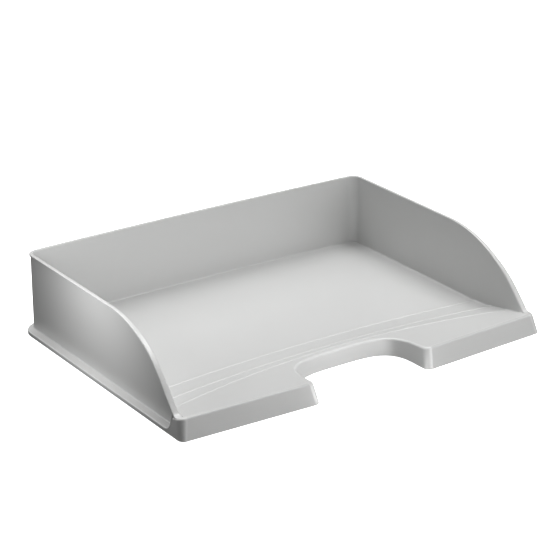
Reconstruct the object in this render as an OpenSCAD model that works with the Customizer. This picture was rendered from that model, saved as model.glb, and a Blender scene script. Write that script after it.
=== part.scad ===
// Wide-entry letter tray for A4 sheets laid crosswise.
// A thin-walled moulding: a flat floor between three upright walls, a rim bead along
// their top, a stepped base flange that drops over the rim of a tray below, and a low
// hollow apron at the front with a cut-out for the fingers.
// X is the width, Y points to the rear, Z is up. The origin is at the middle of the
// base, on the table.

/* [Overall size] */
// Width over the base flange
tray_w = 363; // [350:1:380]
// Depth from the foremost edge to the rear of the base flange
tray_d = 266.4; // [250:0.1:290]
// Height to the top of the rim
tray_h = 71; // [66:0.5:80]

/* [Walls and floor] */
// Thickness of the three walls
wall_t = 2; // [1.8:0.1:2.6]
// Thickness of the floor and of the apron's skin
floor_t = 2.2; // [1.8:0.1:2.4]
// Height of the floor's upper face
floor_z = 5.4; // [5:0.1:6]
// Inside radius of the two upright rear corners
corner_r = 7.5; // [5:0.5:12]
// How far the rear wall bows outward at its middle
rear_bow = 2.7; // [1:0.1:5]

/* [Rim] */
// Width of the rim bead along the rear and the level part of the sides
rim_w = 3.1; // [2.8:0.1:3.6]
// Width of the rim bead at the foot of the side curves
rim_foot_w = 6.9; // [5:0.1:7]
// Height of the rim bead
rim_h = 1.6; // [1.4:0.1:2.2]

/* [Side wall curve] */
// Distance behind the front corners at which the side walls start to fall
curve_start = 115; // [112:1:121]
// Radius of the falling curve
curve_r = 115; // [110:1:119]
// Steepest slope of the side walls, in degrees
curve_slope = 48; // [45:0.5:50]
// Distance behind the front corners at which the side walls meet the apron
wall_foot = 14; // [13:0.5:16]

/* [Base flange] */
// Width of the flange outside each side wall
flange_w = 7.6; // [6:0.1:9]
// Width of the flange behind the rear wall
rear_flange_w = 3.9; // [3:0.1:6]
// Height of the flange's upper face
flange_z = 3.5; // [3:0.1:4.5]
// Thickness of the flange and its skirt
flange_t = 1.8; // [1.4:0.1:2]
// Plan radius of the flange's two rear corners
flange_r = 19; // [14:0.5:24]

/* [Front apron] */
// Height of the apron's front edge
apron_h = 17; // [15:0.5:20]
// How far the middle of the front edge would stand forward of the corners
front_bow = 7.7; // [0:0.1:12]
// How far the front face leans back from bottom to top
front_lean = 5.5; // [3:0.1:7]
// How far each cheek leans in from bottom to top
cheek_lean = 2.4; // [2:0.1:3]
// Plan radius of the two front corners
apron_r = 7; // [5:0.5:9]
// Thickness of the apron's upright faces
apron_t = 2; // [1.8:0.1:2.4]
// Distance behind the front corners at which the cheeks meet the flange
cheek_end = 24; // [22:0.5:28]

/* [Entry ramp] */
// Height of each small step across the floor
step_h = 0.4; // [0.2:0.1:0.6]
// Distances behind the front corners of the three step lines, at the middle
step_mid = [87, 64, 53]; // [40:1:100]
// How much nearer to the front each step line is at the side walls
step_sweep = [10.5, 9, 19.5]; // [0:0.5:24]
// Height of the ramp just in front of the second and third lines, at the middle
ramp_mid = [9.8, 13.3]; // [8:0.1:14]
// How much lower the ramp is there at the side walls
ramp_drop = [2.5, 1.7]; // [0:0.1:3]

/* [Finger cut-out] */
// Width of the cut-out at the table
cutout_w = 106.6; // [90:0.1:120]
// Depth of the cut-out behind the front corners, at the table
cutout_d = 44; // [36:0.5:46]
// How far the cut-out's wall leans away from the opening from bottom to top
cutout_lean = 2.6; // [1:0.1:4]
// Plan radius of the two shoulders of the cut-out
shoulder_r = 6; // [4:0.5:8]
// Squareness of the cut-out's plan: 2 is an ellipse, more is squarer
cutout_power = 3.8; // [2.5:0.1:5]

/* [Hidden] */

// Main planes, all worked out from the overall size
half_w = tray_w / 2;
side_x = half_w - flange_w - wall_t;
rear_y = tray_d / 2 - rear_flange_w - wall_t;
bow_rate = front_bow / half_w;
shoulder_x = cutout_w / 2 + shoulder_r;
corner_y = -tray_d / 2 + bow_rate * (half_w - shoulder_x);
flange_under_z = flange_z - flange_t;
floor_under_z = floor_z - floor_t;

// The rear wall is an arc of a very large circle, and the corners are tangent to it
bow_r = (side_x * side_x + rear_bow * rear_bow) / (2 * rear_bow);
bow_cy = rear_y - bow_r;
corner_cx = side_x - corner_r;
corner_cy = bow_cy + sqrt(pow(bow_r - corner_r, 2) - corner_cx * corner_cx);
corner_turn = 90 - asin(corner_cx / (bow_r - corner_r));

// Size of the boxes that cut one stretch out of a ring, and the depth of its cut
far = 400;

// Number of straight facets along the bowed rear, the falling curve of a side wall,
// a corner, a cheek's rear end, and from a side of the cut-out to its middle
bow_steps = 16;
curve_steps = 20;
arc_steps = 8;
cheek_steps = 8;
cutout_steps = 20;

body_grey = [0.80, 0.81, 0.80];
rim_grey = [0.86, 0.87, 0.86];
apron_grey = [0.74, 0.75, 0.74];

function span(n) = [for (i = [0 : n]) i / n];

// ---------- plan outlines ----------

// Right half of a plan outline, from the front to the middle of the rear:
// half its width, how far its rear stands off the rear wall's inner face, and radius
function half_outline(half, off, r) =
    let (big = bow_r + off,
         cx = half - r,
         cy = bow_cy + sqrt(pow(big - r, 2) - cx * cx),
         turn = 90 - asin(cx / (big - r)))
    concat([[half, -far]],
           [for (t = span(arc_steps)) [cx + r * cos(turn * t), cy + r * sin(turn * t)]],
           [for (t = span(bow_steps / 2))
                let (a = turn + (90 - turn) * t)
                if (t > 0) [big * cos(a), bow_cy + big * sin(a)]]);

function mirrored(points) =
    concat(points, [for (i = [len(points) - 1 : -1 : 0])
                        if (points[i][0] > 0.001) [-points[i][0], points[i][1]]]);

module outline(half, off, r) {
    polygon(mirrored(half_outline(half, off, r)));
}

// Plan of the walls, from the inner face outward by a distance
module wall_plan(out) {
    outline(side_x + out, out, corner_r + out);
}

module flange_plan(inset) {
    outline(half_w - inset, wall_t + rear_flange_w - inset, flange_r - inset);
}

// ---------- one stretch of a ring at a time ----------

module right_stretch(front) {
    intersection() {
        children();
        translate([0, front, -far / 2])
            cube([far, corner_cy - front, far]);
    }
}

module rear_stretch() {
    intersection() {
        children();
        translate([-corner_cx, corner_cy, -far / 2])
            cube([2 * corner_cx, far, far]);
    }
}

module right_corner_stretch() {
    intersection() {
        children();
        translate([corner_cx, corner_cy, -far / 2])
            cube([far, far, far]);
    }
}

module to_left() {
    mirror([1, 0, 0])
        children();
}

// ---------- side wall profile ----------

// Where the falling curve ends and the straight slope begins
curve_end_y = curve_start - curve_r * sin(curve_slope);
curve_end_z = tray_h - curve_r * (1 - cos(curve_slope));
foot_z = curve_end_z - (curve_end_y - wall_foot) * tan(curve_slope);

// Top of the side wall as [distance behind the front corners, height, slope]
function side_top() =
    concat([[corner_cy - corner_y, tray_h, 0]],
           [for (t = span(curve_steps))
                let (a = curve_slope * t)
                [curve_start - curve_r * sin(a), tray_h - curve_r * (1 - cos(a)), a]],
           [[wall_foot, foot_z, curve_slope]]);

// The same line moved inward by a distance, square to itself
function side_line(down) =
    [for (p = side_top()) [p[0] + down * sin(p[2]), p[1] - down * cos(p[2])]];

// ---------- ramp and apron ----------

function across(x) = pow(min(abs(x) / side_x, 1), 2);
function step_y(i, x) = corner_y + step_mid[i] - step_sweep[i] * across(x);
function ramp_z(i, x) = i == 0 ? floor_z : ramp_mid[i - 1] - ramp_drop[i - 1] * across(x);
function front_y(x) = corner_y - bow_rate * (half_w - abs(x));

// Upper face of the apron's deck, rising from the third step line to the front edge
function deck_z(x, y) =
    let (back = step_y(2, x),
         front = front_y(x) + front_lean,
         low = ramp_z(2, x) + step_h)
    low + (apron_h - low) * (back - y) / (back - front);

// A curved sheet between two lines across the tray, on a grid of points.
// rows is a list of rows, each a list of [x, y, z] on the upper face
module sheet(rows, t) {
    m = len(rows);
    n = len(rows[0]);
    tops = [for (row = rows) for (p = row) p];
    lows = [for (p = tops) p - [0, 0, t]];
    under = m * n;
    upper = [for (j = [0 : m - 2]) for (i = [0 : n - 2])
                 for (face = [[j * n + i, j * n + i + 1, j * n + n + i + 1],
                              [j * n + i, j * n + n + i + 1, j * n + n + i]]) face];
    lower = [for (face = upper) [face[2] + under, face[1] + under, face[0] + under]];
    rim = concat([for (i = [0 : n - 1]) i],
                 [for (j = [1 : m - 1]) j * n + n - 1],
                 [for (i = [n - 2 : -1 : 0]) (m - 1) * n + i],
                 [for (j = [m - 2 : -1 : 1]) j * n]);
    edge = [for (k = [0 : len(rim) - 1])
                let (a = rim[k], b = rim[(k + 1) % len(rim)])
                for (face = [[b, a, a + under], [b, a + under, b + under]]) face];
    polyhedron(concat(tops, lows), concat(upper, lower, edge));
}

// One band of the ramp, between step line i and the next
module ramp_band(i) {
    sheet([for (t = span(3))
               [for (s = span(24))
                    let (x = side_x * (1 - 2 * s),
                         low = ramp_z(i, x) + step_h)
                    [x,
                     step_y(i, x) + (step_y(i + 1, x) - step_y(i, x)) * t,
                     low + (ramp_z(i + 1, x) - low) * t]]],
          floor_t);
}

// The deck's sheet between two places across the tray, before it is trimmed to plan
module deck_sheet(from_x, to_x, steps) {
    overhang = 3;
    sheet([for (t = span(6))
               [for (s = span(steps))
                    let (x = to_x + (from_x - to_x) * s,
                         y = step_y(2, x) + (front_y(x) - overhang - step_y(2, x)) * t)
                    [x, y, deck_z(x, y)]]],
          floor_t);
}

// Half of the apron's outline, from the cheek's rear end round the front corner and
// the shoulder to the middle of the cut-out. up is 0 at the table and 1 at the deck
function apron_line(up) =
    let (x_side = half_w - cheek_lean * up,
         x_cut = cutout_w / 2 + cutout_lean * up,
         y_cut = corner_y + cutout_d + cutout_lean * up,
         lean = front_lean * up,
         turn = 90 - atan(bow_rate),
         cx = x_side - apron_r,
         cy = front_y(cx) + lean + apron_r / sin(turn),
         sx = x_cut + shoulder_r,
         sy = front_y(sx) + lean + shoulder_r)
    concat([for (t = span(cheek_steps)) [half_w - cheek_lean * up * t,
                                         corner_y + cheek_end - ledge_run * t]],
           [for (t = span(arc_steps)) [cx + apron_r * cos(turn * t),
                                       cy - apron_r * sin(turn * t)]],
           [for (t = span(arc_steps)) [sx - shoulder_r * sin(90 * t),
                                       sy - shoulder_r * cos(90 * t)]],
           [for (t = span(cutout_steps))
                if (t > 0)
                [x_cut * pow(max(cos(90 * t), 0), 2 / cutout_power),
                 sy + (y_cut - sy) * pow(sin(90 * t), 2 / cutout_power)]]);

// Index of the last point of each stretch of that outline
cheek_last = cheek_steps + 1 + arc_steps;
face_last = cheek_last + 1 + arc_steps;
cut_last = face_last + cutout_steps;

// Index of the point at which the deck's bridge behind the cut-out begins
bridge_first = face_last + cutout_steps / 4;

// Unit vector that points into the material at point i of a line
function inward(line, i) =
    let (a = line[max(i - 1, 0)],
         b = line[min(i + 1, len(line) - 1)],
         d = (b - a) / norm(b - a))
    i == cut_last ? [0, 1] : i == 0 ? [-1, 0] : [d[1], -d[0]];

// Height of the concave end of the flange's ledge where it climbs to the deck
ledge_run = cheek_end - wall_foot;
ledge_top_z = deck_z(half_w, corner_y + wall_foot);
function ledge_z(y) =
    let (t = min(max((corner_y + cheek_end - y) / ledge_run, 0), 1))
    flange_z + (ledge_top_z - flange_z) * (1 - sqrt(1 - t * t));

function apron_top_z(p) =
    p[0] > side_x && p[1] > corner_y + wall_foot ? ledge_z(p[1]) : deck_z(p[0], p[1]);

// Section of the apron's upright skin at point i of its outline
function skin_section(i) =
    let (low = apron_line(0),
         high = apron_line(1),
         z = apron_top_z(high[i]),
         top = low[i] + (high[i] - low[i]) * z / apron_h,
         in_low = low[i] + inward(low, i) * apron_t,
         in_top = top + inward(high, i) * apron_t,
         z_in = apron_top_z(in_top))
    [[low[i][0], low[i][1], 0], [top[0], top[1], z], [in_top[0], in_top[1], z_in],
     [in_top[0], in_top[1], max(z_in - floor_t, z_in * 0.4)],
     [in_low[0], in_low[1], 0]];

// A closed skin through a row of sections that each have the same number of points
module swept(sections) {
    n = len(sections[0]);
    last = (len(sections) - 1) * n;
    walls = [for (k = [0 : len(sections) - 2]) for (j = [0 : n - 1])
                 let (a = k * n + j, b = k * n + (j + 1) % n)
                 for (face = [[a, b, b + n], [a, b + n, a + n]]) face];
    caps = [for (j = [1 : n - 2])
                for (face = [[j + 1, j, 0], [last, last + j, last + j + 1]]) face];
    polyhedron([for (section = sections) for (p = section) p], concat(walls, caps));
}

// The apron's upright skin along points first to last of its outline
module apron_skin(first, last) {
    swept([for (i = [first : last]) skin_section(i)]);
}

// The upright skin's inner edge under the deck, along points first to last
function deck_edge(first, last) =
    [for (i = [first : last]) let (p = skin_section(i)[2]) [p[0], p[1]]];

bridge_x = deck_edge(bridge_first, bridge_first)[0][0];
deck_back_y = corner_y + step_mid[0];

// ---------- sub-parts ----------

module floor_panel() {
    color(body_grey)
        translate([0, 0, floor_under_z])
            linear_extrude(height = floor_t)
                intersection() {
                    wall_plan(0);
                    polygon(concat([for (s = span(24))
                                        let (x = side_x * (1 - 2 * s)) [x, step_y(0, x)]],
                                   [[-side_x, far], [side_x, far]]));
                }
}

module entry_step_rear() {
    color(body_grey)
        ramp_band(0);
}

module entry_step_front() {
    color(body_grey)
        ramp_band(1);
}

module apron_deck_right() {
    color(apron_grey)
        intersection() {
            deck_sheet(bridge_x, half_w, 20);
            linear_extrude(height = 2 * apron_h)
                polygon(concat([[bridge_x, deck_back_y], [side_x, deck_back_y],
                                [side_x, corner_y + wall_foot]],
                               deck_edge(cheek_steps, bridge_first)));
        }
}

module apron_deck_left() {
    to_left()
        apron_deck_right();
}

module apron_deck_bridge() {
    color(apron_grey)
        intersection() {
            deck_sheet(-bridge_x, bridge_x, 16);
            linear_extrude(height = 2 * apron_h)
                polygon(mirrored(concat([[bridge_x, deck_back_y]],
                                        deck_edge(bridge_first, cut_last))));
        }
}

module right_wall() {
    under = side_line(rim_h);
    shape = concat([[corner_cy - corner_y, flange_under_z]], under,
                   [[wall_foot, flange_under_z]]);
    color(body_grey)
        translate([side_x, corner_y, 0])
            rotate([90, 0, 90])
                linear_extrude(height = wall_t)
                    polygon(shape);
}

module left_wall() {
    to_left()
        right_wall();
}

module wall_ring() {
    translate([0, 0, flange_under_z])
        linear_extrude(height = tray_h - rim_h - flange_under_z)
            difference() {
                wall_plan(wall_t);
                wall_plan(0);
            }
}

module rear_wall() {
    color(body_grey)
        rear_stretch()
            wall_ring();
}

module rear_corner_right() {
    color(body_grey)
        right_corner_stretch()
            wall_ring();
}

module rear_corner_left() {
    to_left()
        rear_corner_right();
}

// Rim bead along the rear: two steps round its upper edges
module rim_ring() {
    ease = 0.4;
    translate([0, 0, tray_h - rim_h])
        linear_extrude(height = rim_h - ease)
            difference() {
                wall_plan(rim_w);
                wall_plan(0);
            }
    translate([0, 0, tray_h - ease])
        linear_extrude(height = ease)
            difference() {
                wall_plan(rim_w - ease);
                wall_plan(ease);
            }
}

module rim_rear() {
    color(rim_grey)
        rear_stretch()
            rim_ring();
}

module rim_corner_right() {
    color(rim_grey)
        right_corner_stretch()
            rim_ring();
}

module rim_corner_left() {
    to_left()
        rim_corner_right();
}

// Rim bead along a side: it follows the falling curve and widens towards its foot
module rim_right() {
    ease = 0.4;
    rings = [for (p = side_top())
                 let (fall = min(max((curve_start - p[0]) / (curve_start - wall_foot), 0), 1),
                      w = rim_w + (rim_foot_w - rim_w) * fall,
                      s = sin(p[2]),
                      c = cos(p[2]))
                 [for (q = [[0, rim_h], [w, rim_h], [w, ease], [w - ease, 0], [ease, 0],
                            [0, ease]])
                      [side_x + q[0], corner_y + p[0] + q[1] * s, p[1] - q[1] * c]]];
    color(rim_grey)
        swept(rings);
}

module rim_left() {
    to_left()
        rim_right();
}

// Flange: a ledge outside the walls and a skirt down to the table
module flange_ring() {
    translate([0, 0, flange_under_z])
        linear_extrude(height = flange_t)
            difference() {
                flange_plan(0);
                wall_plan(wall_t);
            }
    linear_extrude(height = flange_under_z)
        difference() {
            flange_plan(0);
            flange_plan(flange_t);
        }
}

module flange_right() {
    color(body_grey)
        right_stretch(corner_y + cheek_end)
            flange_ring();
}

module flange_left() {
    to_left()
        flange_right();
}

module flange_rear() {
    color(body_grey)
        rear_stretch()
            flange_ring();
}

module flange_corner_right() {
    color(body_grey)
        right_corner_stretch()
            flange_ring();
}

module flange_corner_left() {
    to_left()
        flange_corner_right();
}

module front_face_right() {
    color(apron_grey)
        apron_skin(cheek_last, face_last);
}

module front_face_left() {
    to_left()
        front_face_right();
}

module cutout_wall() {
    color(apron_grey)
        union() {
            apron_skin(face_last, cut_last);
            to_left()
                apron_skin(face_last, cut_last);
        }
}

module cheek_right() {
    color(apron_grey)
        apron_skin(0, cheek_last);
}

module cheek_left() {
    to_left()
        cheek_right();
}

// Where the ledge ends: a concave web that climbs from the flange to the deck
module ledge_end_right() {
    arc = [for (t = span(cheek_steps))
               let (y = cheek_end - ledge_run * t) [y, ledge_z(corner_y + y)]];
    front = wall_foot - flange_t;
    deck_under = [for (y = [wall_foot, front])
                      [y, deck_z(half_w, corner_y + y) - floor_t]];
    web = concat(arc, deck_under,
                 [for (i = [cheek_steps - 1 : -1 : 0]) [max(arc[i][0] - flange_t, front),
                                                        arc[i][1] - flange_t]],
                 [[cheek_end, flange_under_z]]);
    outer_x = side_x + wall_t;
    edge = deck_edge(0, cheek_steps);
    color(body_grey)
        intersection() {
            translate([outer_x, corner_y, 0])
                rotate([90, 0, 90])
                    linear_extrude(height = flange_w)
                        polygon(web);
            linear_extrude(height = 2 * apron_h)
                polygon(concat(edge, [[edge[cheek_steps][0], corner_y + front],
                                      [outer_x, corner_y + front],
                                      [outer_x, corner_y + cheek_end]]));
        }
}

module ledge_end_left() {
    to_left()
        ledge_end_right();
}

floor_panel();
entry_step_rear();
entry_step_front();
apron_deck_left();
apron_deck_right();
apron_deck_bridge();
left_wall();
right_wall();
rear_wall();
rear_corner_left();
rear_corner_right();
rim_left();
rim_right();
rim_rear();
rim_corner_left();
rim_corner_right();
flange_left();
flange_right();
flange_rear();
flange_corner_left();
flange_corner_right();
front_face_left();
front_face_right();
cutout_wall();
cheek_left();
cheek_right();
ledge_end_left();
ledge_end_right();
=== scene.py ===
"""A wide-entry letter tray: the visible moulding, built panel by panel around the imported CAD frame.

Metres, +Z up, the open front towards -Y. Each piece stands for one CAD node. The pieces meet
where the moulding's features change, and take their shading normals from the whole feature,
so that the tray reads as one moulding.
"""
import math

import bpy
import numpy as np
from mathutils import Matrix, Vector
from mathutils.geometry import delaunay_2d_cdt


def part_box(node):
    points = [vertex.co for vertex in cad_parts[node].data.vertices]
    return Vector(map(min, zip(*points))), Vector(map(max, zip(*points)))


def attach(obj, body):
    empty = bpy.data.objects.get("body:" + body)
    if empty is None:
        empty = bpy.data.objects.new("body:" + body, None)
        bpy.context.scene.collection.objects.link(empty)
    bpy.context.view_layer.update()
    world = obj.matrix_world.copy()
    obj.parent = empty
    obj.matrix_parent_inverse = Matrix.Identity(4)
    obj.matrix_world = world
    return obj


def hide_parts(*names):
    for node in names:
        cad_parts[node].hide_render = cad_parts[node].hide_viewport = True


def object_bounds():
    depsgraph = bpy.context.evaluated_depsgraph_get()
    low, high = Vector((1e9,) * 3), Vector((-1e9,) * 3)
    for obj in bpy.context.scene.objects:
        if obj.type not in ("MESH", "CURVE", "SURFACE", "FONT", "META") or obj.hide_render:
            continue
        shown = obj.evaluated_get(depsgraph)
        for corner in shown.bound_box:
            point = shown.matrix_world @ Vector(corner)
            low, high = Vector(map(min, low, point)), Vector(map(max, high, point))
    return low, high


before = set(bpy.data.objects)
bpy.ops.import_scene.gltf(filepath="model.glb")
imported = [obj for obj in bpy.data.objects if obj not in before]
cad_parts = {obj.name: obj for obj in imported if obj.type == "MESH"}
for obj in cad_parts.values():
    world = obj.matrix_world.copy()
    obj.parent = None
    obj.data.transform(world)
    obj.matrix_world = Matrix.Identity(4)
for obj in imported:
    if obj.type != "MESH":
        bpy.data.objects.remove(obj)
CAD_LOW, CAD_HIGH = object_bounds()

MM = 0.001

# ---------------------------------------------------------------- dimensions from the frame

HALF_W = CAD_HIGH.x
TRAY_H = CAD_HIGH.z
SIDE_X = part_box("right_wall")[0].x
WALL_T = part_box("right_wall")[1].x - SIDE_X
FOOT_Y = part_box("right_wall")[0].y
CORNER_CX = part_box("rear_corner_right")[0].x
CORNER_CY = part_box("rear_corner_right")[0].y
CORNER_R = SIDE_X - CORNER_CX
REAR_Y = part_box("rear_wall")[1].y - WALL_T
FLOOR_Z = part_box("floor_panel")[1].z
FLOOR_T = FLOOR_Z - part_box("floor_panel")[0].z
FLANGE_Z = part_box("flange_right")[1].z
FLANGE_END_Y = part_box("flange_right")[0].y
REAR_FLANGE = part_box("flange_rear")[1].y - REAR_Y
APRON_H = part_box("front_face_right")[1].z
RIM_H = TRAY_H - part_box("rim_rear")[0].z
RIM_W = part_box("rim_rear")[1].y - REAR_Y

# The rear wall is an arc of a large circle to which the two corners are tangent
BOW_SAG = REAR_Y - CORNER_CY
BOW_R = (CORNER_CX ** 2 + BOW_SAG ** 2 - CORNER_R ** 2) / (2 * (BOW_SAG - CORNER_R))
BOW_CY = REAR_Y - BOW_R

# ---------------------------------------------------------------- dimensions of the moulding

FLANGE_R = 19 * MM          # plan radius of the flange's rear corners
FLANGE_T = 1.8 * MM         # thickness of the flange and its skirt
FLANGE_EDGE_R = 0.9 * MM    # rounding along the ledge's outer edge
BASE_EDGE_R = 0.3 * MM      # rounding where a skin stands on the table
INSIDE_FILLET = 1.2 * MM    # between the walls and the floor
OUTSIDE_FILLET = 1.1 * MM   # between the walls and the ledge
INSIDE_FADE = 10 * MM       # the length in which the inside fillet dies out towards the foot
OUTSIDE_FADE = 3 * MM       # and the outside one, in front of the flange's end
CREST_BACK = 3.8 * MM       # from the wall's foot back to the crest of the ledge's end
CREST_R = 0.5 * MM
LEDGE_RISE = 8 * MM         # height in which the ledge's end curves up

CORNER_Y = FOOT_Y - 14 * MM     # where the front and side faces would meet, at the table
FRONT_BOW = 7.7 * MM            # how far the front line would stand forward at its middle
BOW_RATE = FRONT_BOW / HALF_W
FRONT_LEAN = 5.5 * MM
CHEEK_LEAN = 2.4 * MM
APRON_R = 7 * MM                # plan radius of the front corners at the deck
APRON_BASE_R = 5.5 * MM         # and at the table
APRON_T = 2 * MM
APRON_EDGE_R = 1.8 * MM         # rounding along the apron's upper edge

RIM_WIDE_W = 5.8 * MM           # the rim's width a little above its foot
RIM_WIDE_Y = CORNER_Y + 25 * MM
RIM_WIDENING = 1.7              # over 1 keeps the rim slim at the start of its fall
SPLAY = 1.2 * MM                # how far the side walls' tops lean outward at the foot
SPLAY_START = CORNER_Y + 60 * MM
RIM_OVERLAP = 0.05 * MM         # the rim's underside reaches this far past the wall

CUTOUT_HALF = 53.3 * MM
CUTOUT_D = 44 * MM
CUTOUT_LEAN = 2.6 * MM
CUTOUT_POWER = 3.8
SHOULDER_R = 6 * MM

CURVE_START = CORNER_Y + 115 * MM   # where the side walls start to fall
CURVE_R = 115 * MM
CURVE_SLOPE = math.radians(48)
ROUNDING_START = CURVE_START - 40 * MM  # where the rim's section starts to get rounder
SHARPENING = 0.75                   # the share of that lost again at the rim's end

STEP_H = 0.4 * MM
STEP_ROUND = 0.75 * MM
BEAD_H = [0.45 * MM, 0.55 * MM, 0.34 * MM]   # the low bead along each step's edge
BEAD_AT = 0.9 * MM
BEAD_HALF = 1.3 * MM
STEP_MID = [87 * MM, 64 * MM, 53 * MM]
STEP_SWEEP = [10.5 * MM, 9 * MM, 19.5 * MM]
RAMP_MID = [9.8 * MM, 13.3 * MM]
RAMP_DROP = [2.5 * MM, 1.7 * MM]
BAND_CURVE = [1.25, 1.0]            # over 1 makes a band's profile concave

CREASE = math.cos(math.radians(35))     # edges that turn by more than this stay sharp
ARC_STEPS = 16
FRONT_STEPS = 24            # along each front face
CUTOUT_STEPS = 56           # along each half of the cut-out
BRIDGE_START = 20           # the step of the cut-out at which the bridge begins
LINE_STEPS = 192            # along a step line from side to side
DECK_LINE_STEPS = 96        # along the deck's part of the last line
BRIDGE_LINE_STEPS = 64      # and along the bridge's
BEAD_STEPS = 10             # across a beaded edge
GRID = 3 * MM               # pitch of the points inside the ramp and the deck
FLOOR_GRID = 16 * MM
LEAST = 0.02 * MM           # the smallest fillet and the closest stations


def span(n):
    """n + 1 even values from 0 to 1."""
    return [i / n for i in range(n + 1)]


def eased_span(n):
    """n + 1 values from 0 to 1, closer together at both ends."""
    return [t * t * (3 - 2 * t) for t in span(n)]


def smoothstep(t):
    t = min(max(t, 0.0), 1.0)
    return t * t * (3 - 2 * t)


def mix(a, b, t):
    return a + (b - a) * t


# ---------------------------------------------------------------- meshes with exact normals

def make_piece(node, verts, faces, normals, material, slot):
    """A closed mesh with a normal for each corner of each face, which stands for one CAD node."""
    verts = np.asarray(verts, float)
    volume = 0.0
    for face in faces:
        for i in range(1, len(face) - 1):
            a, b, c = verts[face[0]], verts[face[i]], verts[face[i + 1]]
            volume += float(np.dot(a, np.cross(b, c)))
    if volume < 0:
        faces = [tuple(reversed(f)) for f in faces]
        normals = [[-np.asarray(n) for n in reversed(ns)] for ns in normals]
    mesh = bpy.data.meshes.new(node + "_skin")
    mesh.from_pydata([tuple(v) for v in verts], [], [tuple(f) for f in faces])
    mesh.polygons.foreach_set("use_smooth", [True] * len(mesh.polygons))
    flat = []
    for ns in normals:
        for n in ns:
            length = float(np.linalg.norm(n))
            flat.append(tuple(n / length) if length > 1e-12 else (0.0, 0.0, 0.0))
    mesh.normals_split_custom_set(flat)
    mesh.materials.append(material)
    piece = bpy.data.objects.new(node + "_skin", mesh)
    bpy.context.scene.collection.objects.link(piece)
    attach(piece, "root")
    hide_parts(node)
    return piece


def face_normal(points):
    total = np.zeros(3)
    for i in range(len(points)):
        total += np.cross(points[i], points[(i + 1) % len(points)])
    return total


def turn_smoothly(back, ahead):
    """Directions just before and just after each point.

    They are one shared direction where the line turns gently.
    """
    lengths = np.linalg.norm(back, axis=-1) * np.linalg.norm(ahead, axis=-1)
    cosine = (back * ahead).sum(-1) / np.maximum(lengths, 1e-18)
    shared = (cosine > CREASE)[..., None]
    return np.where(shared, back + ahead, back), np.where(shared, back + ahead, ahead)


def swept_mesh(sections, first=0, last=None):
    """Verts, faces and corner normals of a closed skin from section first to section last.

    The sections beyond them only steer the normals at the two ends.
    """
    P = np.asarray(sections, float)
    count, sides = P.shape[:2]
    last = count - 1 if last is None else last
    along = np.roll(P, -1, axis=1) - P
    end_of, start_of = turn_smoothly(along, np.roll(along, -1, axis=1))
    start_of = np.roll(start_of, 1, axis=1)
    step = P[1:] - P[:-1]
    leave, arrive = step.copy(), step.copy()
    arrive[:-1], leave[1:] = turn_smoothly(step[:-1], step[1:])
    verts = P[first:last + 1].reshape(-1, 3)
    faces, normals = [], []
    for k in range(first, last):
        for j in range(sides):
            jj = (j + 1) % sides
            a = (k - first) * sides
            b = a + sides
            faces.append((a + j, a + jj, b + jj, b + j))
            normals.append([np.cross(start_of[k, j], leave[k, j]),
                            np.cross(end_of[k, j], leave[k, jj]),
                            np.cross(end_of[k + 1, j], arrive[k, jj]),
                            np.cross(start_of[k + 1, j], arrive[k, j])])
    end = (last - first) * sides
    for cap in (tuple(range(sides - 1, -1, -1)), tuple(range(end, end + sides))):
        faces.append(cap)
        flat = face_normal(verts[list(cap)])
        normals.append([flat] * sides)
    return verts, faces, normals


def mirrored(mesh_data):
    """The same skin on the other side of the tray's middle plane."""
    verts, faces, normals = mesh_data
    flip = np.array([-1.0, 1.0, 1.0])
    return (np.asarray(verts) * flip,
            [tuple(reversed(f)) for f in faces],
            [[np.asarray(n) * flip for n in reversed(ns)] for ns in normals])


def make_pair(kind, mesh_data, material, slot):
    """The right-hand piece and its mirror image."""
    make_piece(kind + "_right", *mesh_data, material, slot)
    make_piece(kind + "_left", *mirrored(mesh_data), material, slot)


def slab_mesh(outline, inside, height, thickness):
    """A sheet of even thickness under a height function, trimmed to a plan outline."""
    points = [Vector(p) for p in list(outline) + list(inside)]
    ring = [(i, (i + 1) % len(outline)) for i in range(len(outline))]
    flat, _, triangles, *_ = delaunay_2d_cdt(points, ring, [], 1, 1e-7)
    top = np.array([(p.x, p.y, height(p.x, p.y)) for p in flat])
    reach = 0.01 * MM

    def slope_normal(x, y):
        dx = (height(x + reach, y) - height(x - reach, y)) / (2 * reach)
        dy = (height(x, y + reach) - height(x, y - reach)) / (2 * reach)
        return np.array([-dx, -dy, 1.0])

    up = [slope_normal(p.x, p.y) for p in flat]
    under = len(top)
    verts = np.concatenate([top, top - [0, 0, thickness]])
    faces, normals, directed = [], [], set()
    for tri in triangles:
        a, b, c = tri
        if np.cross(top[b] - top[a], top[c] - top[a])[2] < 0:
            a, b, c = a, c, b
        faces.append((a, b, c))
        normals.append([up[a], up[b], up[c]])
        faces.append((c + under, b + under, a + under))
        normals.append([-up[c], -up[b], -up[a]])
        directed.update([(a, b), (b, c), (c, a)])
    for a, b in sorted(directed):
        if (b, a) not in directed:
            side = (b, a, a + under, b + under)
            faces.append(side)
            normals.append([face_normal(verts[list(side)])] * 4)
    return verts, faces, normals


def grid_inside(x0, x1, y0, y1, pitch, keep):
    """Plan points on an even grid, where keep says so."""
    points = []
    for x in np.arange(x0 + pitch / 2, x1, pitch):
        for y in np.arange(y0 + pitch / 2, y1, pitch):
            if keep(x, y):
                points.append((float(x), float(y)))
    return points


# ---------------------------------------------------------------- heights of the sheet's path

def across(x):
    return min(abs(x) / SIDE_X, 1.0) ** 2


def line_y(i, x):
    return CORNER_Y + STEP_MID[i] - STEP_SWEEP[i] * across(x)


def line_z(i, x):
    return FLOOR_Z if i == 0 else RAMP_MID[i - 1] - RAMP_DROP[i - 1] * across(x)


def front_y(x):
    return CORNER_Y - BOW_RATE * (HALF_W - abs(x))


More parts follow.
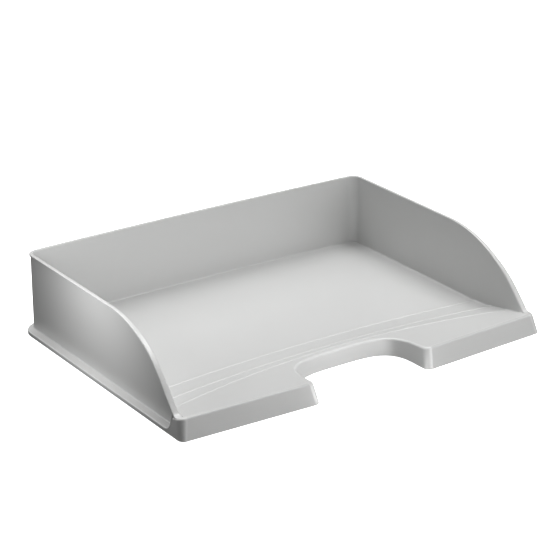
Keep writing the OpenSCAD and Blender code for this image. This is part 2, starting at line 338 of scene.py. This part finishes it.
def still_to_rise(i, x, y):
    """How far the rounded, beaded edge of step i is still under the height of the sheet before it."""
    ahead = line_y(i, x) - y
    s = min(max(ahead / STEP_ROUND, 0.0), 1.0)
    near = min(abs(ahead - BEAD_AT) / BEAD_HALF, 1.0)
    return STEP_H * (1 - s) ** 2 - BEAD_H[i] * (1 + math.cos(math.pi * near)) / 2 * min(s * 3, 1.0)


def band_z(i, x, y):
    back, front = line_y(i, x), line_y(i + 1, x)
    t = min(max((back - y) / (back - front), 0.0), 1.0)
    low = line_z(i, x) + STEP_H
    return mix(low, line_z(i + 1, x), t ** BAND_CURVE[i]) - still_to_rise(i, x, y)


def deck_z(x, y):
    back = line_y(2, x)
    front = front_y(x) + FRONT_LEAN
    low = line_z(2, x) + STEP_H
    return mix(low, APRON_H, (back - y) / (back - front)) - still_to_rise(2, x, y)


def path_z(x, y):
    """Height of the upper face anywhere inside the tray."""
    if y >= line_y(0, x):
        return FLOOR_Z
    if y >= line_y(1, x):
        return band_z(0, x, y)
    if y >= line_y(2, x):
        return band_z(1, x, y)
    return deck_z(x, y)


# ---------------------------------------------------------------- side profile

CURVE_END_Y = CURVE_START - CURVE_R * math.sin(CURVE_SLOPE)
CURVE_END_Z = TRAY_H - CURVE_R * (1 - math.cos(CURVE_SLOPE))

# The deck's own slope at the side, and the fillet in which the rim runs out onto it
DECK_RISE = math.atan((deck_z(SIDE_X, FOOT_Y - MM) - deck_z(SIDE_X, FOOT_Y)) / MM)
MEET_Y = FOOT_Y + (deck_z(SIDE_X, FOOT_Y)
                   - (CURVE_END_Z - (CURVE_END_Y - FOOT_Y) * math.tan(CURVE_SLOPE))) \
    / (math.tan(CURVE_SLOPE) + math.tan(DECK_RISE))
MEET_Z = deck_z(SIDE_X, MEET_Y)


def apron_point(up, part, t):
    """Plan point of the apron's outline, at the table where up is 0 and at the deck where it is 1."""
    x_side = HALF_W - CHEEK_LEAN * up
    x_cut = CUTOUT_HALF + CUTOUT_LEAN * up
    y_cut = CORNER_Y + CUTOUT_D + CUTOUT_LEAN * up
    lean = FRONT_LEAN * up
    turn = math.pi / 2 - math.atan(BOW_RATE)
    r = mix(APRON_BASE_R, APRON_R, up)
    cx = x_side - r
    cy = front_y(cx) + lean + r / math.sin(turn)
    sx = x_cut + SHOULDER_R
    sy = front_y(sx) + lean + SHOULDER_R
    if part == "corner":
        return np.array([cx + r * math.cos(turn * t), cy - r * math.sin(turn * t)])
    if part == "front":
        start = np.array([cx + r * math.cos(turn), cy - r * math.sin(turn)])
        end = np.array([sx, sy - SHOULDER_R])
        return mix(start, end, t)
    if part == "shoulder":
        a = math.pi / 2 * t
        return np.array([sx - SHOULDER_R * math.sin(a), sy - SHOULDER_R * math.cos(a)])
    a = math.pi / 2 * t
    return np.array([x_cut * max(math.cos(a), 0.0) ** (2 / CUTOUT_POWER),
                     sy + (y_cut - sy) * math.sin(a) ** (2 / CUTOUT_POWER)])


# The rim ends at one station of the front corner's arc, where its fillet reaches the deck
RIM_END_STATION = 3
RIM_END = apron_point(1, "corner", RIM_END_STATION / ARC_STEPS)
CORNER_START_Y = apron_point(1, "corner", 0)[1]
FOOT_FILLET_R = ((MEET_Y - RIM_END[1]) / math.cos(DECK_RISE)
                 / math.tan((CURVE_SLOPE + DECK_RISE) / 2))


def rim_path():
    """Points of the rim's upper inner edge along a side, as (y, z, slope down to the front)."""
    points = [(y, TRAY_H, 0.0) for y in (CORNER_CY, mix(CORNER_CY, CURVE_START, 0.5))]
    for t in span(36):
        a = CURVE_SLOPE * t
        points.append((CURVE_START - CURVE_R * math.sin(a), TRAY_H - CURVE_R * (1 - math.cos(a)), a))
    tangent = FOOT_FILLET_R * math.tan((CURVE_SLOPE + DECK_RISE) / 2)
    y0 = MEET_Y + tangent * math.cos(CURVE_SLOPE)
    z0 = MEET_Z + tangent * math.sin(CURVE_SLOPE)
    y1, z1, _ = points[-1]
    points += [(mix(y1, y0, t), mix(z1, z0, t), CURVE_SLOPE) for t in (0.3, 0.6, 0.85)]
    for t in span(16):
        a = mix(CURVE_SLOPE, -DECK_RISE, t)
        points.append((y0 + FOOT_FILLET_R * (math.sin(a) - math.sin(CURVE_SLOPE)),
                       z0 - FOOT_FILLET_R * (math.cos(a) - math.cos(CURVE_SLOPE)), a))
    return points


RIM_PATH = rim_path()
FILLET_START_Y = RIM_PATH[-17][0]


def splay(y):
    """How far the top of a side wall stands outside its foot."""
    return SPLAY * smoothstep((SPLAY_START - y) / (SPLAY_START - RIM_WIDE_Y))


def rim_width(y):
    """Width of the rim: it widens down the curve, then flares out over the apron's corner."""
    if y >= CURVE_START:
        return RIM_W
    if y >= RIM_WIDE_Y:
        fallen = (CURVE_START - y) / (CURVE_START - RIM_WIDE_Y)
        return mix(RIM_W, RIM_WIDE_W, fallen ** RIM_WIDENING)
    top_side = HALF_W - CHEEK_LEAN - SIDE_X - SPLAY
    if y >= CORNER_START_Y:
        flare = smoothstep((RIM_WIDE_Y - y) / (RIM_WIDE_Y - CORNER_START_Y))
        return mix(RIM_WIDE_W, top_side, flare)
    fall = (CORNER_START_Y - y) / APRON_R
    return top_side - APRON_R * (1 - math.sqrt(1 - fall * fall))


def rim_section(width, foot):
    """The bead's section as (outward, down) pairs. Its outer edge gets rounder towards the foot."""
    inner_r = mix(0.45, 1.5, foot) * MM
    across_r = down_r = mix(0.8, 1.0, foot) * MM
    under_r = mix(0.6, 0.3, foot) * MM
    height = max(RIM_H + RIM_OVERLAP, down_r + under_r + 0.1 * MM)
    points = [(0, RIM_H), (0, mix(RIM_H, inner_r, 0.5))]
    points += [(inner_r * (1 - math.cos(a)), inner_r * (1 - math.sin(a)))
               for a in (math.pi / 2 * t for t in span(4))]
    points += [(width - across_r * (1 - math.sin(a)), down_r * (1 - math.cos(a)))
               for a in (math.pi / 2 * t for t in span(10))]
    points += [(width - under_r * (1 - math.cos(a)), height - under_r * (1 - math.sin(a)))
               for a in (math.pi / 2 * t for t in span(4))]
    points += [(WALL_T + RIM_OVERLAP, height), (WALL_T + RIM_OVERLAP, RIM_H)]
    return points


def rim_foot(y):
    """How far the rim has taken on its rounder section: fully above the fillet, and not at its end."""
    grown = smoothstep((ROUNDING_START - y) / (ROUNDING_START - FILLET_START_Y))
    lost = smoothstep((FILLET_START_Y - y) / (FILLET_START_Y - RIM_END[1]))
    return grown * (1 - SHARPENING * lost)


def wall_point(out, zone, t):
    """Plan point of the right half's wall outline and its outward normal."""
    if zone == "corner":
        a = mix(0, CORNER_TURN, t)
        n = np.array([math.cos(a), math.sin(a)])
        return np.array([CORNER_CX, CORNER_CY]) + (CORNER_R + out) * n, n
    a = mix(CORNER_TURN, math.pi / 2, t)
    n = np.array([math.cos(a), math.sin(a)])
    return np.array([0, BOW_CY]) + (BOW_R + out) * n, n


CORNER_TURN = math.pi / 2 - math.asin(CORNER_CX / (BOW_R - CORNER_R))
BOW_STEPS = 12


def loop_stations():
    """(zone, t) along the rear, from the end of the right side to the middle of the rear wall."""
    return ([("corner", t) for t in span(ARC_STEPS)]
            + [("bow", t) for t in span(BOW_STEPS)[1:]])


def whole_rear(section_at, right_side):
    """Sections from the right side's rear end round to the left side's: the right half, mirrored on."""
    half = right_side + [section_at(zone, t) for zone, t in loop_stations()]
    other = [[(-x, y, z) for x, y, z in s] for s in reversed(half[:-1])]
    return half + other


# ---------------------------------------------------------------- walls

LOWER_LINE = [(y + RIM_H * math.sin(a), z - RIM_H * math.cos(a)) for y, z, a in RIM_PATH]
LOWER_LINE_Y = [p[0] for p in reversed(LOWER_LINE)]
LOWER_LINE_Z = [p[1] for p in reversed(LOWER_LINE)]


def wall_top(y):
    return float(np.interp(y, LOWER_LINE_Y, LOWER_LINE_Z))


def ledge_profile():
    """The ledge's end in side view, as (y, z, normal y, normal z), from the flange up to the rim."""
    crest_y = FOOT_Y + CREST_BACK
    crest_z = wall_top(crest_y) - CREST_R
    run = FLANGE_END_Y - crest_y
    points = []
    for t in span(ARC_STEPS):
        a = math.pi / 2 * t
        n = np.array([LEDGE_RISE * math.sin(a), run * math.cos(a)])
        n = n / np.linalg.norm(n)
        points.append((FLANGE_END_Y - run * math.sin(a),
                       FLANGE_Z + LEDGE_RISE * (1 - math.cos(a)), *n))
    for t in span(6):
        a = math.pi / 2 * t
        points.append((crest_y - CREST_R * (1 - math.cos(a)), crest_z + CREST_R * math.sin(a),
                       math.cos(a), math.sin(a)))
    for t in (0.5, 1):
        y = mix(crest_y - CREST_R, FOOT_Y + MM, t)
        points.append((y, max(wall_top(y), deck_z(SIDE_X, y)), 0.0, 1.0))
    return points


LEDGE = ledge_profile()


def wall_section(base, top, outer_base, inner_r, outer_r):
    """A wall's section as (outward, height) pairs, with fillets at the foot of both faces."""
    points = [(inner_r * (math.cos(a) - 1), base + inner_r * (1 + math.sin(a)))
              for a in (-math.pi / 2 * (1 - t) for t in span(5))]
    points += [(0, mix(base + inner_r, top, 0.5)), (0, top), (WALL_T, top),
               (WALL_T, mix(top, outer_base + outer_r, 0.5))]
    points += [(WALL_T + outer_r * (1 - math.cos(a)), outer_base + outer_r * (1 - math.sin(a)))
               for a in (math.pi / 2 * t for t in span(5))]
    under = FLANGE_Z - FLANGE_T
    points += [(WALL_T + outer_r, under), (0, under), (-inner_r, base - FLOOR_T)]
    return points


def side_wall_stations():
    """Distances along a side at which its section is worked out, from the rear to the foot."""
    marks = {CORNER_CY, CURVE_START, FLANGE_END_Y, FOOT_Y}
    marks.update(y for y, _ in LOWER_LINE if y > FOOT_Y)
    for i in range(3):
        start = line_y(i, SIDE_X)
        marks.update(start - (BEAD_AT + BEAD_HALF) * t for t in [-0.02] + span(BEAD_STEPS))
    marks.update(mix(FOOT_Y, FLANGE_END_Y, t) for t in span(12))
    marks.update(mix(FLANGE_END_Y, line_y(0, SIDE_X), t) for t in span(16))
    marks.update(mix(CURVE_START, CORNER_CY, t) for t in span(5))
    kept = []
    for y in sorted(marks, reverse=True):
        if not kept or kept[-1] - y > LEAST:
            kept.append(y)
    return kept


def inside_fillet(y):
    return max(INSIDE_FILLET * smoothstep((y - FOOT_Y) / INSIDE_FADE), LEAST)


def outside_fillet(y):
    fade = smoothstep((y - FLANGE_END_Y + OUTSIDE_FADE) / OUTSIDE_FADE)
    return max(OUTSIDE_FILLET * fade, LEAST)


def side_wall_section(y):
    inner_r, outer_r = inside_fillet(y), outside_fillet(y)
    base = path_z(SIDE_X - inner_r, y)
    top = max(wall_top(y), base + inner_r + 0.1 * MM, FLANGE_Z + outer_r + 0.1 * MM)
    section = wall_section(base, top, FLANGE_Z, inner_r, outer_r)
    lean = splay(y) / (top - base)
    return [(SIDE_X + out + lean * min(max(z - base, 0), top - base), y, z) for out, z in section]


def build_walls(material):
    side = [side_wall_section(y) for y in side_wall_stations()]
    section = wall_section(FLOOR_Z, TRAY_H - RIM_H, FLANGE_Z, INSIDE_FILLET, OUTSIDE_FILLET)

    def rear_section(zone, t):
        points = []
        for out, z in section:
            p, _ = wall_point(out, zone, t)
            points.append((p[0], p[1], z))
        return points

    sections = whole_rear(rear_section, list(reversed(side))[:-1])
    start = len(side) - 1
    corner_end = start + ARC_STEPS
    rear_end = corner_end + 2 * BOW_STEPS
    make_side("wall", swept_mesh(sections, 0, start), material)
    make_pair("rear_corner", swept_mesh(sections, start, corner_end), material, "tray_grey")
    make_piece("rear_wall", *swept_mesh(sections, corner_end, rear_end), material, "tray_grey")


def make_side(kind, mesh_data, material):
    """The right and left walls, whose names start with their side."""
    make_piece("right_" + kind, *mesh_data, material, "tray_grey")
    make_piece("left_" + kind, *mirrored(mesh_data), material, "tray_grey")


# ---------------------------------------------------------------- rim

def build_rim(material):
    side = []
    for y, z, a in RIM_PATH:
        section = rim_section(rim_width(y), rim_foot(y))
        x = SIDE_X + splay(y)
        side.append([(x + out, y + down * math.sin(a), z - down * math.cos(a))
                     for out, down in section])
    level = rim_section(RIM_W, 0)

    def rear_section(zone, t):
        points = []
        for out, down in level:
            p, _ = wall_point(out, zone, t)
            points.append((p[0], p[1], TRAY_H - down))
        return points

    sections = whole_rear(rear_section, list(reversed(side))[:-1])
    start = len(side) - 1
    corner_end = start + ARC_STEPS
    rear_end = corner_end + 2 * BOW_STEPS
    make_pair("rim", swept_mesh(sections, 0, start), material, "tray_grey")
    make_pair("rim_corner", swept_mesh(sections, start, corner_end), material, "tray_grey")
    make_piece("rim_rear", *swept_mesh(sections, corner_end, rear_end), material, "tray_grey")


# ---------------------------------------------------------------- flange

def flange_point(zone, t):
    """Plan point of the flange's outer edge on the right half, and its outward normal."""
    big = BOW_R + REAR_FLANGE
    cx = HALF_W - FLANGE_R
    cy = BOW_CY + math.sqrt((big - FLANGE_R) ** 2 - cx * cx)
    turn = math.pi / 2 - math.asin(cx / (big - FLANGE_R))
    if zone == "side":
        return np.array([HALF_W, mix(FLANGE_END_Y, cy, t)]), np.array([1.0, 0.0])
    if zone == "corner":
        n = np.array([math.cos(turn * t), math.sin(turn * t)])
        return np.array([cx, cy]) + FLANGE_R * n, n
    a = mix(turn, math.pi / 2, t)
    n = np.array([math.cos(a), math.sin(a)])
    return np.array([0, BOW_CY]) + big * n, n


def flange_section(inner, outer, normal):
    """The ledge and its skirt, from the wall's fillet out to the rounded edge and down."""
    points = [(*inner, FLANGE_Z - FLANGE_T), (*inner, FLANGE_Z)]
    for t in span(6):
        a = math.pi / 2 * t
        p = outer - normal * FLANGE_EDGE_R * (1 - math.sin(a))
        points.append((*p, FLANGE_Z - FLANGE_EDGE_R * (1 - math.cos(a))))
    for t in span(3):
        a = math.pi / 2 * t
        p = outer - normal * BASE_EDGE_R * (1 - math.cos(a))
        points.append((*p, BASE_EDGE_R * (1 - math.sin(a))))
    under = outer - normal * FLANGE_T
    points += [(*under, 0.0), (*under, FLANGE_Z - FLANGE_T)]
    return points


def build_flange(material):
    side = []
    side_steps = 12
    for t in span(side_steps):
        inner = np.array([SIDE_X + WALL_T + OUTSIDE_FILLET, mix(FLANGE_END_Y, CORNER_CY, t)])
        side.append(flange_section(inner, *flange_point("side", t)))

    def rear_section(zone, t):
        inner, _ = wall_point(WALL_T + OUTSIDE_FILLET, zone, t)
        return flange_section(inner, *flange_point(zone, t))

    sections = whole_rear(rear_section, side[:-1])
    corner_end = side_steps + ARC_STEPS
    rear_end = corner_end + 2 * BOW_STEPS
    make_pair("flange", swept_mesh(sections, 0, side_steps), material, "tray_grey")
    make_pair("flange_corner", swept_mesh(sections, side_steps, corner_end), material, "tray_grey")
    make_piece("flange_rear", *swept_mesh(sections, corner_end, rear_end), material, "tray_grey")


# ---------------------------------------------------------------- apron

def apron_stations():
    """(part, t) round the right half of the apron, from the cheek to the middle of the cut-out."""
    parts = [("corner", t) for t in span(ARC_STEPS)]
    parts += [("front", t) for t in eased_span(FRONT_STEPS)[1:]]
    parts += [("shoulder", t) for t in span(ARC_STEPS)[1:]]
    parts += [("cutout", t) for t in eased_span(CUTOUT_STEPS)[1:]]
    return parts


def plan_inward(up, part, t):
    """Unit vector into the material, square to the apron's outline."""
    if part == "cutout" and t > 0.999:
        return np.array([0.0, 1.0])
    step = 1e-4
    a = apron_point(up, part, max(t - step, 0.0))
    b = apron_point(up, part, min(t + step, 1.0))
    d = (b - a) / np.linalg.norm(b - a)
    return np.array([d[1], -d[0]])


def skin_section(outer_at, inward_at, crest, z_inner):
    """The apron's upright skin in section, under the points of its rounded upper edge.

    outer_at and inward_at give the outline at a height.
    """
    points = []
    for t in span(3):
        a = math.pi / 2 * t
        z = BASE_EDGE_R * (1 - math.cos(a))
        points.append((*(outer_at(z) + inward_at(z) * BASE_EDGE_R * (1 - math.sin(a))), z))
    middle = mix(BASE_EDGE_R, crest[0][2], 0.5)
    points.append((*outer_at(middle), middle))
    points += crest
    inner = outer_at(z_inner) + inward_at(z_inner) * APRON_T
    points.append((*inner, z_inner))
    under = max(z_inner - FLOOR_T, z_inner * 0.4)
    points.append((*inner, under))
    foot = outer_at(0) + inward_at(0) * APRON_T
    points.append((*foot, 0.0))
    return points


def apron_skin(part, t):
    """The skin's outer point and its inward direction at a station, as functions of height."""
    low, high = apron_point(0, part, t), apron_point(1, part, t)
    low_inward, high_inward = plan_inward(0, part, t), plan_inward(1, part, t)

    def outer_at(z):
        return mix(low, high, z / APRON_H)

    def inward_at(z):
        return mix(low_inward, high_inward, z / APRON_H)

    return outer_at, inward_at


def meet_deck(place):
    """Height at which a leaning line, whose plan point is place(height), reaches the deck."""
    z = APRON_H
    for _ in range(5):
        z = deck_z(*place(z))
    return z


def skin_inner(outer_at, inward_at):
    """Where the skin's inner face reaches the deck."""
    def place(z):
        return outer_at(z) + inward_at(z) * APRON_T

    z = meet_deck(place)
    return (*place(z), z)


def apron_section(part, t):
    """Section of the skin at a station of the apron."""
    outer_at, inward_at = apron_skin(part, t)
    z = meet_deck(outer_at)
    crest = []
    for share in span(8):
        a = math.pi / 2 * share
        drop = APRON_EDGE_R * (1 - math.sin(a))
        p = outer_at(z - drop) + inward_at(z) * APRON_EDGE_R * (1 - math.cos(a))
        crest.append((*p, deck_z(*p) - drop))
    return skin_section(outer_at, inward_at, crest, skin_inner(outer_at, inward_at)[2])


def cheek_lean(y):
    """How far the cheek leans in at the deck's height: not at all where the flange ends."""
    return CHEEK_LEAN * min(max((FLANGE_END_Y - y) / (FLANGE_END_Y - FOOT_Y - CREST_BACK), 0.0), 1.0)


def cheek_section(y, z, up_normal, edge_r):
    """Section of the cheek behind the front corner, under the ledge's end."""
    lean = cheek_lean(y)

    def outer_at(height):
        return np.array([HALF_W - lean * height / APRON_H, y])

    def inward_at(height):
        return np.array([-1.0, 0.0])

    crest = []
    for share in span(8):
        a = math.pi / 2 * share
        drop = np.array(up_normal) * edge_r * (1 - math.sin(a))
        p = outer_at(z - drop[1]) + inward_at(z) * edge_r * (1 - math.cos(a))
        crest.append((p[0], y - drop[0], z - drop[1]))
    return skin_section(outer_at, inward_at, crest, z)


def build_apron(material, front_painted_shade_material):
    stations = apron_stations()
    corner_last = ARC_STEPS
    face_last = corner_last + FRONT_STEPS
    rear = []
    for y, z, ny, nz in LEDGE:
        grow = smoothstep((z - FLANGE_Z) / (APRON_H - FLANGE_Z))
        rear.append(cheek_section(y, z, (ny, nz), mix(FLANGE_EDGE_R, APRON_EDGE_R, grow)))
    front = [apron_section(part, t) for part, t in stations]
    other = [[(-x, y, z) for x, y, z in s] for s in reversed(front[:-1])]
    sections = rear + front + other
    n = len(rear)
    make_pair("cheek", swept_mesh(sections, 0, n + corner_last), material, "tray_grey")
    # The front faces take the darker copy of the plastic, which paints their shade; their coarser grain
    # is real.
    make_pair("front_face", swept_mesh(sections, n + corner_last, n + face_last),
              front_painted_shade_material, "front_grain")
    cut_first = n + face_last
    cut_last = n + 2 * (len(front) - 1) - face_last
    make_piece("cutout_wall", *swept_mesh(sections, cut_first, cut_last), material, "tray_grey")


def deck_edge(first, last):
    """Plan points of the skin's inner edge, at which the deck begins."""
    points = []
    for part, t in apron_stations()[first:last + 1]:
        x, y, _ = skin_inner(*apron_skin(part, t))
        points.append((float(x), float(y)))
    return points


BRIDGE_FIRST = ARC_STEPS + FRONT_STEPS + ARC_STEPS + BRIDGE_START


def wall_side_x(y):
    """Where the floor stops at the side: at the foot of the wall's inner fillet."""
    return SIDE_X - inside_fillet(y)


def step_line(i, x_from, x_to, steps):
    return [(x, line_y(i, x)) for x in (mix(x_from, x_to, t) for t in span(steps))]


def bead_rows(i, x):
    """Plan points across the beaded edge of step i at x, from back to front."""
    return [(x, line_y(i, x) - (BEAD_AT + BEAD_HALF) * share) for share in span(BEAD_STEPS)[1:]]


def rounded_rows(i, x_from, x_to, steps):
    """Extra points along the rounded edge of step i."""
    rows = []
    for t in span(steps)[1:-1]:
        rows += bead_rows(i, mix(x_from, x_to, t))
    return rows


def side_edge(i, x, y_front):
    """The sheet's edge along the wall, across step i's bead and on to y_front."""
    rows = [(wall_side_x(y), y) for _, y in bead_rows(i, x)]
    last = rows[-1][1]
    return rows + [(wall_side_x(y), y) for y in (mix(last, y_front, t) for t in span(7)[1:-1])]


def build_ramp(material):
    wall_0, wall_1, wall_2 = (wall_side_x(line_y(i, SIDE_X)) for i in range(3))
    rear = [wall_point(-INSIDE_FILLET, zone, t)[0] for zone, t in loop_stations()]
    rear = [(float(x), float(y)) for x, y in rear]
    rear += [(-x, y) for x, y in reversed(rear[:-1])]
    outline = rear + step_line(0, -wall_0, wall_0, LINE_STEPS)
    inside = grid_inside(-SIDE_X, SIDE_X, CORNER_Y, REAR_Y, FLOOR_GRID,
                         lambda x, y: abs(x) < SIDE_X - 6 * MM
                         and line_y(0, x) + 4 * MM < y < CORNER_CY)
    make_piece("floor_panel", *slab_mesh(outline, inside, lambda x, y: FLOOR_Z, FLOOR_T),
               material, "tray_grey")
    for i, node in enumerate(("entry_step_rear", "entry_step_front")):
        back_x = (wall_0, wall_1)[i]
        front_x = (wall_1, wall_2)[i]
        sides = side_edge(i, back_x, line_y(i + 1, front_x))
        outline = (step_line(i, back_x, -back_x, LINE_STEPS)
                   + [(-x, y) for x, y in sides]
                   + step_line(i + 1, -front_x, front_x, LINE_STEPS) + sides[::-1])
        inside = rounded_rows(i, back_x, -back_x, LINE_STEPS)
        inside += grid_inside(-SIDE_X, SIDE_X, CORNER_Y, CORNER_Y + 100 * MM, GRID,
                              lambda x, y: abs(x) < front_x - 2 * MM
                              and line_y(i + 1, x) + MM < y < line_y(i, x) - 3 * MM)
        make_piece(node, *slab_mesh(outline, inside, lambda x, y: band_z(i, x, y), FLOOR_T),
                   material, "tray_grey")


def build_deck(material):
    edge = deck_edge(RIM_END_STATION, BRIDGE_FIRST)
    bridge_x = edge[-1][0]
    rim_end_y = float(RIM_END[1])
    seam = [p for p in bead_rows(2, bridge_x) if p[1] > edge[-1][1] + 0.2 * MM]
    side_x = wall_side_x(line_y(2, SIDE_X))
    outline = step_line(2, bridge_x, side_x, DECK_LINE_STEPS) + side_edge(2, side_x, FOOT_Y)
    outline += [(wall_side_x(FOOT_Y), FOOT_Y), (SIDE_X + SPLAY, FOOT_Y),
                (SIDE_X + SPLAY, rim_end_y), (edge[0][0], rim_end_y)]
    outline += edge[1:] if edge[0][1] > rim_end_y else edge
    outline += seam[::-1]
    inside = rounded_rows(2, side_x, bridge_x, DECK_LINE_STEPS)
    inside += grid_inside(bridge_x, SIDE_X, CORNER_Y, CORNER_Y + 60 * MM, GRID,
                          lambda x, y: x < SIDE_X - 3 * MM and x > bridge_x + 4 * MM
                          and front_y(x) + FRONT_LEAN + 4 * MM < y < line_y(2, x) - 3 * MM)
    make_pair("apron_deck", slab_mesh(outline, inside, deck_z, FLOOR_T), material, "tray_grey")

    half = deck_edge(BRIDGE_FIRST, len(apron_stations()) - 1)
    outline = (half + [(-x, y) for x, y in reversed(half[:-1])]
               + [(-x, y) for x, y in reversed(seam)]
               + step_line(2, -bridge_x, bridge_x, BRIDGE_LINE_STEPS) + seam)
    inside = rounded_rows(2, -bridge_x, bridge_x, BRIDGE_LINE_STEPS)
    make_piece("apron_deck_bridge", *slab_mesh(outline, inside, deck_z, FLOOR_T),
               material, "tray_grey")


def build_ledge_ends(material):
    sections = []
    for y, z, ny, nz in LEDGE:
        inner_x = SIDE_X + WALL_T + outside_fillet(y)
        outer_x = HALF_W - cheek_lean(y) * z / APRON_H - APRON_T
        low_y, low_z = y - ny * FLANGE_T, z - nz * FLANGE_T
        sections.append([(inner_x, y, z), (outer_x, y, z),
                         (outer_x, low_y, low_z), (inner_x, low_y, low_z)])
    make_pair("ledge_end", swept_mesh(sections), material, "tray_grey")


# ---------------------------------------------------------------- materials

def moulded_plastic(name, colour, roughness, grain, grain_size):
    """Moulded polystyrene: a faint mottle in colour and gloss, and a fine surface grain."""
    material = bpy.data.materials.new(name)
    material.use_nodes = True
    nodes = material.node_tree.nodes
    links = material.node_tree.links
    shader = nodes["Principled BSDF"]
    place = nodes.new("ShaderNodeTexCoord")

    def noise(scale, detail, rough=0.5):
        node = nodes.new("ShaderNodeTexNoise")
        node.inputs["Scale"].default_value = scale
        node.inputs["Detail"].default_value = detail
        node.inputs["Roughness"].default_value = rough
        links.new(place.outputs["Object"], node.inputs["Vector"])
        return node.outputs["Fac"]

    def ramp(source, low, high):
        node = nodes.new("ShaderNodeMapRange")
        node.inputs["To Min"].default_value = low
        node.inputs["To Max"].default_value = high
        node.inputs["From Min"].default_value = 0.3
        node.inputs["From Max"].default_value = 0.7
        links.new(source, node.inputs["Value"])
        return node.outputs["Result"]

    tint = nodes.new("ShaderNodeMixRGB")
    tint.inputs["Color1"].default_value = (*[c * 0.985 for c in colour], 1)
    tint.inputs["Color2"].default_value = (*[min(c * 1.015, 1) for c in colour], 1)
    links.new(noise(14, 4), tint.inputs["Fac"])
    links.new(tint.outputs["Color"], shader.inputs["Base Color"])
    links.new(ramp(noise(40, 5), roughness - 0.03, roughness + 0.03), shader.inputs["Roughness"])
    shader.inputs["IOR"].default_value = 1.59
    bump = nodes.new("ShaderNodeBump")
    bump.inputs["Strength"].default_value = grain
    bump.inputs["Distance"].default_value = 0.02 * MM
    links.new(noise(1 / grain_size, 3, 0.6), bump.inputs["Height"])
    links.new(bump.outputs["Normal"], shader.inputs["Normal"])
    return material


# ---------------------------------------------------------------- stage

def build_floor():
    mesh = bpy.data.meshes.new("floor_stage")
    reach = 12.0
    mesh.from_pydata([(-reach, -reach, 0), (reach, -reach, 0), (reach, reach, 0), (-reach, reach, 0)],
                     [], [(0, 1, 2, 3)])
    floor = bpy.data.objects.new("floor_stage", mesh)
    floor.location.z = -0.05 * MM
    bpy.context.scene.collection.objects.link(floor)
    material = bpy.data.materials.new("pale_floor")
    material.use_nodes = True
    shader = material.node_tree.nodes["Principled BSDF"]
    shader.inputs["Base Color"].default_value = (0.93, 0.93, 0.93, 1)
    shader.inputs["Roughness"].default_value = 0.9
    shader.inputs["Emission Color"].default_value = (1, 1, 1, 1)
    shader.inputs["Emission Strength"].default_value = 0.9
    mesh.materials.append(material)
    # The floor neither lights the tray nor shows in its gloss
    floor.visible_diffuse = False
    floor.visible_glossy = False


def add_light(name, place, aim, size, power, size_y=None):
    light = bpy.data.lights.new(name, "AREA")
    light.shape = "RECTANGLE"
    light.size = size
    light.size_y = size_y or size
    light.energy = power
    lamp = bpy.data.objects.new(name, light)
    lamp.location = place
    lamp.rotation_euler = (Vector(aim) - Vector(place)).to_track_quat("-Z", "Y").to_euler()
    lamp.visible_camera = False
    bpy.context.scene.collection.objects.link(lamp)


LAMP_DISTANCE = 1.5


def around(azimuth, height):
    """A place round the tray, turned from straight in front towards the left."""
    turn, rise = math.radians(azimuth), math.radians(height)
    return (-LAMP_DISTANCE * math.sin(turn) * math.cos(rise),
            -LAMP_DISTANCE * math.cos(turn) * math.cos(rise),
            LAMP_DISTANCE * math.sin(rise))


def build_lights():
    centre = (0, 0, 0.03)
    add_light("rear_high", around(180, 68), centre, 0.5, 5.7)
    add_light("rear_left_high", around(135, 68), centre, 0.5, 1.5)
    add_light("rear_softbox", around(180, 48), centre, 0.8, 5.6)
    add_light("rear_right_softbox", around(225, 50), centre, 0.8, 2.9)
    add_light("right_high", around(270, 68), centre, 0.5, 7.4)
    add_light("right_low", around(315, 18), centre, 0.7, 1.7)
    add_light("front_low", around(0, 18), centre, 0.7, 3.6)
    add_light("overhead", (0, 0, 1.5), (0, 0, 0), 1.0, 5.6)
    add_light("front_card", (0.25, -0.62, 0.15), (0.02, -0.1, 0.02), 0.3, 1.9)
    add_light("cutout_card", (0, -0.15, 0.008), (0, -0.085, 0.008), 0.08, 0.02, 0.008)
    add_light("left_card", (-0.27, 0.01, 0.10), (-0.178, 0.01, 0.02), 0.08, 0.165)
    world = bpy.data.worlds.new("studio")
    bpy.context.scene.world = world
    world.use_nodes = True
    background = world.node_tree.nodes["Background"]
    background.inputs["Color"].default_value = (1, 1, 1, 1)
    background.inputs["Strength"].default_value = 0.02


CAMERA_PLACE = (-0.87287, -1.24417, 0.67750)
CAMERA_TURNS = (35.02, 22.51, 0.19)     # yaw, pitch and roll in degrees
CAMERA_LENS = 124.84


def build_camera():
    yaw, pitch, roll = (math.radians(turn) for turn in CAMERA_TURNS)
    forward = Vector((math.sin(yaw) * math.cos(pitch), math.cos(yaw) * math.cos(pitch),
                      -math.sin(pitch)))
    level = Vector((math.cos(yaw), -math.sin(yaw), 0))
    up = level.cross(forward)
    right = level * math.cos(roll) + up * math.sin(roll)
    data = bpy.data.cameras.new("camera")
    data.sensor_width = 36
    data.lens = CAMERA_LENS
    data.clip_start = 0.05
    data.clip_end = 50
    camera = bpy.data.objects.new("camera", data)
    turned = Matrix((right, right.cross(forward), -forward)).transposed()
    camera.matrix_world = Matrix.Translation(CAMERA_PLACE) @ turned.to_4x4()
    bpy.context.scene.collection.objects.link(camera)
    bpy.context.scene.camera = camera


plain = moulded_plastic("tray_plastic", (0.54, 0.543, 0.538), 0.33, 0.25, 0.5 * MM)
# The front faces' plastic is a darker copy of the tray's own: painted shade on the front faces, over a
# coarser real grain and less gloss.
grained_painted_shade = moulded_plastic("front_plastic_painted_shade", (0.452, 0.455, 0.45), 0.45, 0.6, 0.8 * MM)

build_camera()
build_walls(plain)
build_rim(plain)
build_flange(plain)
build_apron(plain, grained_painted_shade)
build_ramp(plain)
build_deck(plain)
build_ledge_ends(plain)
build_floor()
build_lights()

bpy.context.scene.view_settings.view_transform = "Standard"
